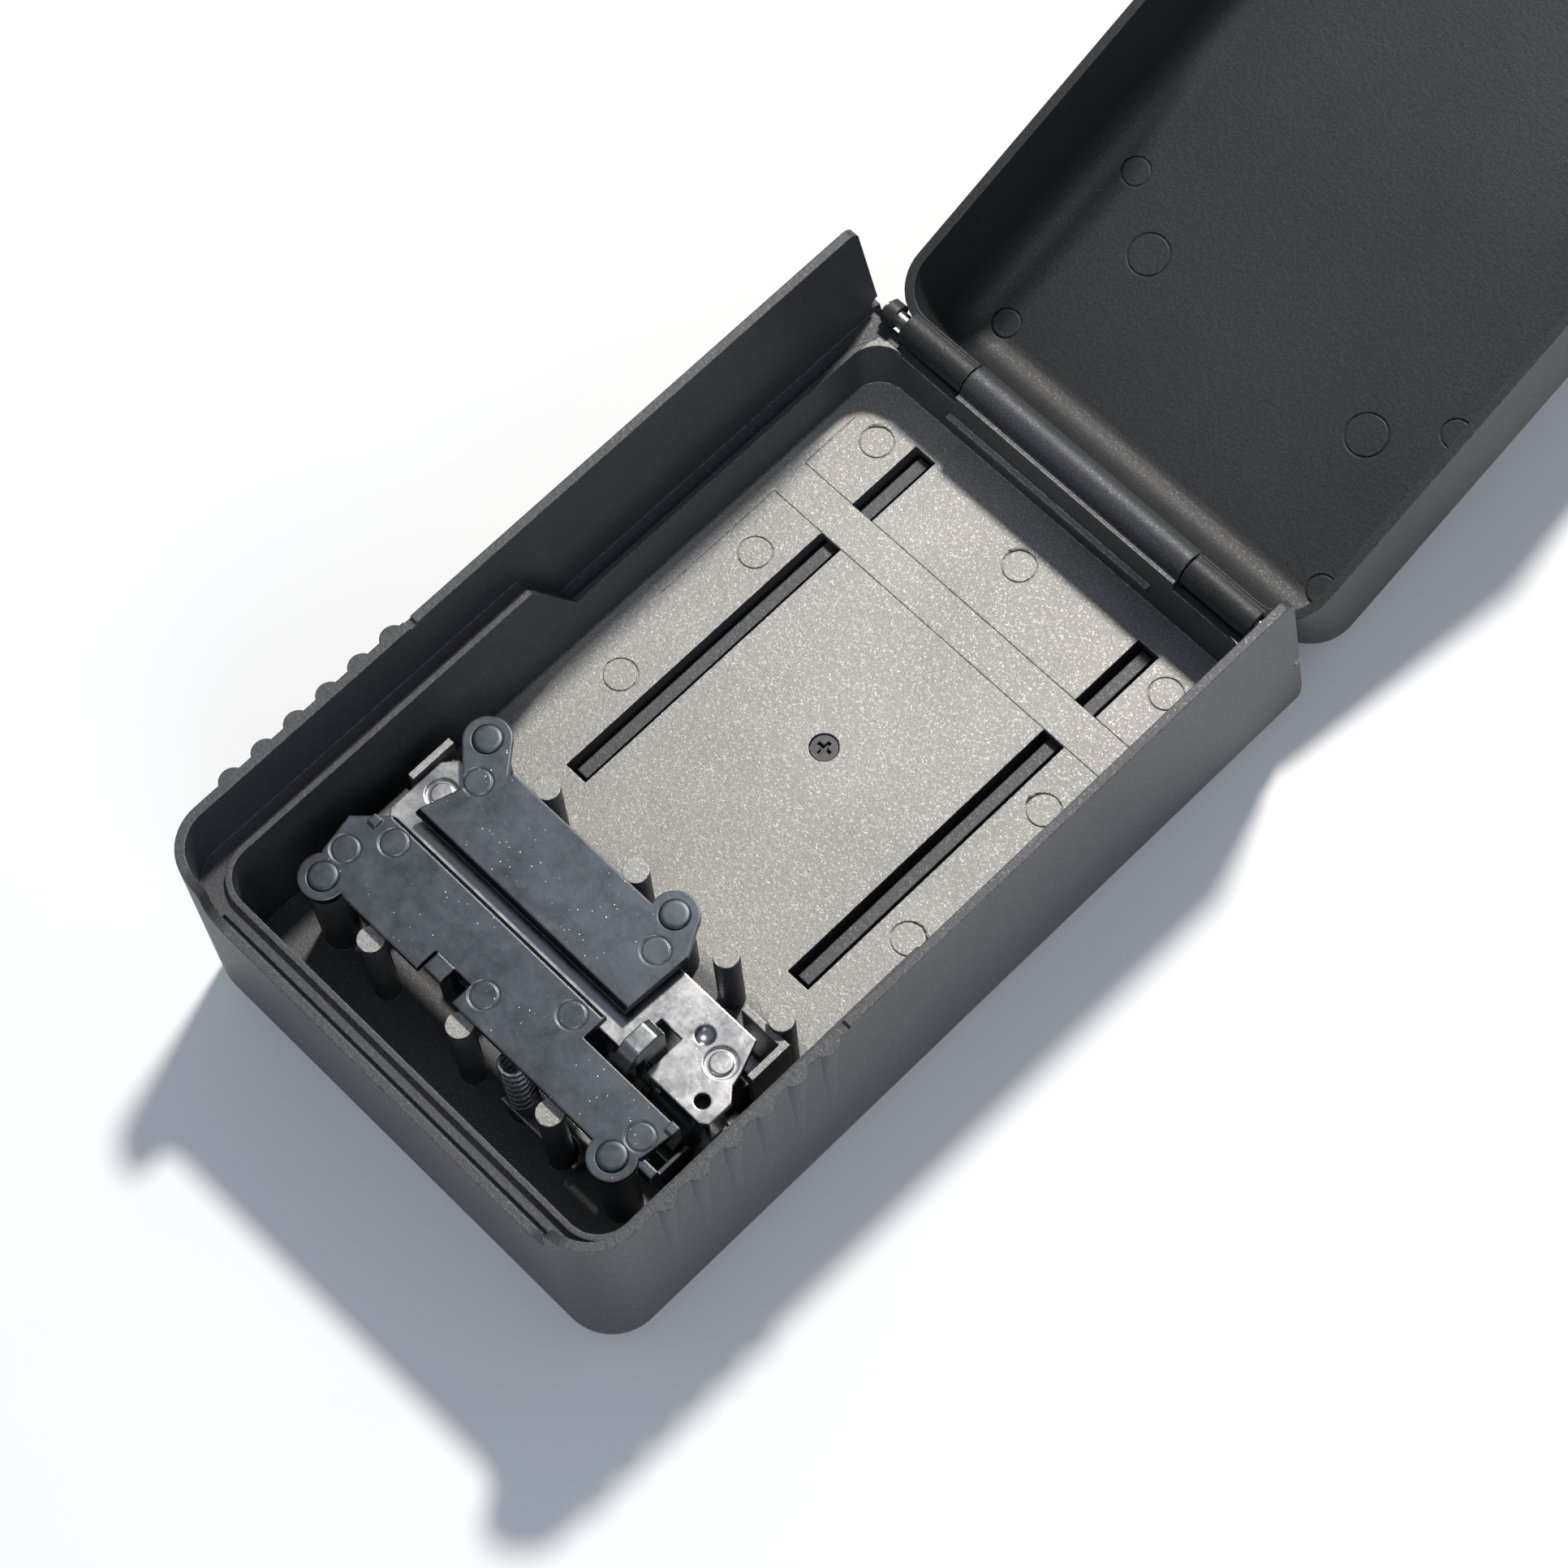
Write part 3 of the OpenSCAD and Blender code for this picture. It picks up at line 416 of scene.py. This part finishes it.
class KEYBOX_OT_bright_parts(bpy.types.Operator):
    """Nickel on the locking plate and the hook, steel and zinc on the parts below"""

    bl_idname = "keybox.bright_parts"
    bl_label = "Finish the bright parts"

    def execute(self, context):
        look = context.scene.key_box_finishes
        bright = ["locking_plate", "latch_hook"]
        dress(bright, dipped_zinc("nickel", look.nickel, 0.2, 0.36, 0.3, 0.5))
        round_edges(bright, look.edge * 0.7)
        dress([f"code_sleeve_{i}" for i in range(1, DIAL_COUNT + 1)],
              drawn_steel("sleeve_zinc", (0.5, 0.5, 0.51), 0.4))
        dress(["hinge_pin", "dial_spindle", "detent_spring", "latch_spring", "latch_strike",
               "strike_screws", "shutter_guide"], drawn_steel("steel", (0.56, 0.57, 0.59), 0.28))
        dress(["shutter_screw"], drawn_steel("black_screw", (0.05, 0.05, 0.052), 0.4))
        return {"FINISHED"}


class KEYBOX_OT_plastic_parts(bpy.types.Operator):
    """Black plastic on the dials, the button and the hinge bushes"""

    bl_idname = "keybox.plastic_parts"
    bl_label = "Finish the plastic parts"

    def execute(self, context):
        dials = [f"dial_{i}" for i in range(1, DIAL_COUNT + 1)]
        plastic = moulded_plastic("black_plastic", (0.03, 0.03, 0.032))
        dress(dials + ["release_button", "hinge_bush_left", "hinge_bush_right"], plastic)
        round_edges(["release_button"], 0.15 * MM)
        return {"FINISHED"}


class KEYBOX_OT_numerals(bpy.types.Operator):
    """Ten raised numerals round each dial"""

    bl_idname = "keybox.numerals"
    bl_label = "Make the dial numerals"

    def execute(self, context):
        details = context.scene.key_box_details
        paint = moulded_plastic("numeral_paint", (0.8, 0.8, 0.78))
        for dial in range(1, DIAL_COUNT + 1):
            low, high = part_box(f"dial_{dial}")
            middle = (low.x + high.x) / 2
            ring = bmesh.new()
            for numeral in range(NUMERALS):
                shape = self.flat_numeral(context, str(numeral), details)
                turn = math.radians(360 // NUMERALS * numeral)
                for corner in shape.verts:
                    angle = turn + corner.co.y / DIAL_RADIUS
                    radius = DIAL_RADIUS + corner.co.z
                    corner.co = (middle - corner.co.x,
                                 DIAL_AXIS[0] - radius * math.sin(angle),
                                 DIAL_AXIS[1] + radius * math.cos(angle))
                part = bpy.data.meshes.new("numeral")
                shape.to_mesh(part)
                shape.free()
                ring.from_mesh(part)
                bpy.data.meshes.remove(part)
            add_piece(f"dial_{dial}_numerals", ring, paint, f"dial_{dial}")
        return {"FINISHED"}

    def flat_numeral(self, context, text, details):
        """A numeral as a thin solid about the origin."""
        curve = bpy.data.curves.new("numeral", "FONT")
        curve.body = text
        curve.size = details.numeral_height
        curve.align_x, curve.align_y = "CENTER", "CENTER"
        curve.extrude = details.numeral_rise
        curve.resolution_u = 3
        holder = bpy.data.objects.new("numeral", curve)
        context.scene.collection.objects.link(holder)
        context.view_layer.update()
        solid = holder.evaluated_get(context.evaluated_depsgraph_get())
        mesh = bpy.data.meshes.new_from_object(solid)
        shape = bmesh.new()
        shape.from_mesh(mesh)
        bmesh.ops.remove_doubles(shape, verts=shape.verts, dist=0.001 * MM)
        bpy.data.objects.remove(holder)
        bpy.data.curves.remove(curve)
        bpy.data.meshes.remove(mesh)
        return shape


class KEYBOX_OT_casting_flash(bpy.types.Operator):
    """Small burrs of casting flash round the ejector marks"""

    bl_idname = "keybox.casting_flash"
    bl_label = "Make the casting flash"

    def execute(self, context):
        details = context.scene.key_box_details
        draw = random.Random(details.flash_seed)
        flash = bmesh.new()
        for x, y, start, count in FLASH_SPOTS:
            for k in range(count):
                angle = math.radians(start + 11 * k + draw.uniform(-3, 3))
                size = draw.uniform(0.12, 0.3)
                spot = Matrix.Translation(((x + FLASH_RADIUS * math.cos(angle)) * MM,
                                           (y + FLASH_RADIUS * math.sin(angle)) * MM,
                                           FLOOR_TOP + 0.02 * MM))
                across = angle + math.pi / 2 + draw.uniform(-0.4, 0.4)
                turned = Matrix.Rotation(across, 4, "Z")
                scaled = Matrix.Diagonal((2.2, 0.8, draw.uniform(0.5, 0.9), 1.0))
                chip = bmesh.ops.create_icosphere(flash, subdivisions=2, radius=size * MM,
                                                  matrix=spot @ turned @ scaled)
                for corner in chip["verts"]:
                    corner.co += Vector([draw.uniform(-0.04, 0.04) * MM for _ in range(3)])
        look = context.scene.key_box_finishes
        # the burrs take half of the painted sunlit colour of the bay
        coat = powder_coat("flash_coat", shade(look.bay_metal, 0.5), look.grain)
        add_piece("casting_flash", flash, coat, "cover")
        return {"FINISHED"}


class KEYBOX_OT_rivet_heads(bpy.types.Operator):
    """Peened heads that hold the lock plates on their four posts"""

    bl_idname = "keybox.rivet_heads"
    bl_label = "Make the rivet heads"

    def execute(self, context):
        heads = bmesh.new()
        for x, y in RIVETED_POSTS:
            axis = Vector((x * MM, y * MM))
            top, radius = self.post_end(axis)
            reach = radius + POST_OVERLAP
            corners = [heads.verts.new((axis.x + share * reach, axis.y, top + rise * MM))
                       for share, rise in HEAD_OUTLINE]
            edges = [heads.edges.new(pair) for pair in zip(corners, corners[1:])]
            bmesh.ops.spin(heads, geom=corners + edges, cent=(axis.x, axis.y, top),
                           axis=(0, 0, 1), angle=math.tau, steps=40, use_merge=True)
        bmesh.ops.remove_doubles(heads, verts=heads.verts, dist=WELD_DISTANCE)
        bmesh.ops.recalc_face_normals(heads, faces=heads.faces)
        zinc = bpy.data.materials["plate_zinc"]
        add_piece("plate_rivets", heads, zinc, "cover")
        return {"FINISHED"}

    def post_end(self, axis):
        """Height and radius of the free end of the cover's post on this axis."""
        near = [v.co for v in NODES["front_cover"].data.vertices
                if (v.co.xy - axis).length < POST_REACH]
        top = max(corner.z for corner in near)
        rim = [corner for corner in near if corner.z > top - 0.02 * MM]
        return top, max((corner.xy - axis).length for corner in rim)


class KEYBOX_OT_stage(bpy.types.Operator):
    """Pale floor, soft light and the camera"""

    bl_idname = "keybox.stage"
    bl_label = "Set the stage"

    def execute(self, context):
        stage = context.scene.key_box_stage
        context.scene.view_settings.view_transform = "Standard"
        self.make_floor(context)
        self.make_sky(context, stage.sky)
        self.make_lamp(context, "key_lamp", KEY_PLACE, KEY_SIZE, stage.key_power, KEY_COLOUR)
        self.make_lamp(context, "fill_lamp", FILL_PLACE, FILL_SIZE,
                       stage.key_power * FILL_SHARE, FILL_COLOUR)
        self.make_camera(context, stage)
        return {"FINISHED"}

    def make_floor(self, context):
        bm = bmesh.new()
        bmesh.ops.create_grid(bm, x_segments=1, y_segments=1, size=FLOOR_HALF,
                              matrix=Matrix.Translation((0, 0, -FLOOR_DROP)))
        mesh = bpy.data.meshes.new("floor")
        bm.to_mesh(mesh)
        bm.free()
        floor = bpy.data.objects.new("floor", mesh)
        paper = Finish("white_table", Roughness=0.75)
        cloud = paper.noise(60 * MM, detail=2.0)
        mesh.materials.append(paper.finish(Base_Color=paper.blend(
            paper.remap(cloud, 0.3, 0.7), (0.93, 0.935, 0.945), (0.95, 0.955, 0.96))))
        context.scene.collection.objects.link(floor)

    def make_sky(self, context, strength):
        world = bpy.data.worlds.new("studio")
        context.scene.world = world
        world.use_nodes = True
        tree = world.node_tree
        tree.nodes.clear()
        output = tree.nodes.new("ShaderNodeOutputWorld")
        seen = tree.nodes.new("ShaderNodeBackground")
        lit = tree.nodes.new("ShaderNodeBackground")
        seen.inputs["Color"].default_value = (1, 1, 1, 1)
        lit.inputs["Color"].default_value = SKY_COLOUR
        lit.inputs["Strength"].default_value = strength
        rays = tree.nodes.new("ShaderNodeLightPath")
        mix = tree.nodes.new("ShaderNodeMixShader")
        tree.links.new(rays.outputs["Is Camera Ray"], mix.inputs[0])
        tree.links.new(lit.outputs[0], mix.inputs[1])
        tree.links.new(seen.outputs[0], mix.inputs[2])
        tree.links.new(mix.outputs[0], output.inputs["Surface"])

    def make_lamp(self, context, name, place, size, power, colour):
        lamp = bpy.data.lights.new(name, "AREA")
        lamp.shape = "DISK"
        lamp.size = size
        lamp.energy = power
        lamp.color = colour
        holder = bpy.data.objects.new(name, lamp)
        holder.location = place
        holder.rotation_mode = "QUATERNION"
        aim = LAMP_TARGET - Vector(place)
        holder.rotation_quaternion = aim.to_track_quat("-Z", "Y")
        context.scene.collection.objects.link(holder)

    def make_camera(self, context, stage):
        camera = bpy.data.cameras.new("camera")
        camera.sensor_width = 36.0
        camera.lens = stage.lens
        camera.clip_start = 0.01
        camera.clip_end = 20.0
        holder = bpy.data.objects.new("camera", camera)
        level = math.cos(CAMERA_ELEVATION)
        back = Vector((math.sin(CAMERA_AZIMUTH) * level, -math.cos(CAMERA_AZIMUTH) * level,
                       math.sin(CAMERA_ELEVATION)))
        right = Vector((0, 0, 1)).cross(back).normalized()
        up = back.cross(right)
        c, s = math.cos(stage.roll), math.sin(stage.roll)
        axes = Matrix((right * c + up * s, up * c - right * s, back)).transposed()
        holder.matrix_world = Matrix.Translation(CAMERA_PLACE) @ axes.to_4x4()
        context.scene.collection.objects.link(holder)
        context.scene.camera = holder


class KEYBOX_PT_sidebar(bpy.types.Panel):
    """Lists the steps that dress the key box"""

    bl_idname = "KEYBOX_PT_sidebar"
    bl_label = "Key Box"
    bl_space_type = "VIEW_3D"
    bl_region_type = "UI"
    bl_category = "Key Box"

    def draw(self, context):
        for group in ("finishes", "details", "stage"):
            settings = getattr(context.scene, f"key_box_{group}")
            column = self.layout.column()
            for key in settings.__annotations__:
                column.prop(settings, key)
        for operator in STEPS:
            self.layout.operator(operator.bl_idname)


STEPS = (KEYBOX_OT_castings, KEYBOX_OT_lock_plates, KEYBOX_OT_bright_parts,
         KEYBOX_OT_plastic_parts, KEYBOX_OT_numerals, KEYBOX_OT_casting_flash,
         KEYBOX_OT_rivet_heads, KEYBOX_OT_stage)
GROUPS = (("finishes", KeyBoxFinishes), ("details", KeyBoxDetails), ("stage", KeyBoxStage))


def register():
    for name, group in GROUPS:
        bpy.utils.register_class(group)
        setattr(bpy.types.Scene, f"key_box_{name}", PointerProperty(type=group))
    for step in STEPS:
        bpy.utils.register_class(step)
    bpy.utils.register_class(KEYBOX_PT_sidebar)


def unregister():
    bpy.utils.unregister_class(KEYBOX_PT_sidebar)
    for step in reversed(STEPS):
        bpy.utils.unregister_class(step)
    for name, group in reversed(GROUPS):
        delattr(bpy.types.Scene, f"key_box_{name}")
        bpy.utils.unregister_class(group)


def main():
    register()
    for step in STEPS:
        category, name = step.bl_idname.split(".")
        getattr(getattr(bpy.ops, category), name)()
    bpy.context.view_layer.update()


if __name__ == "__main__":
    main()
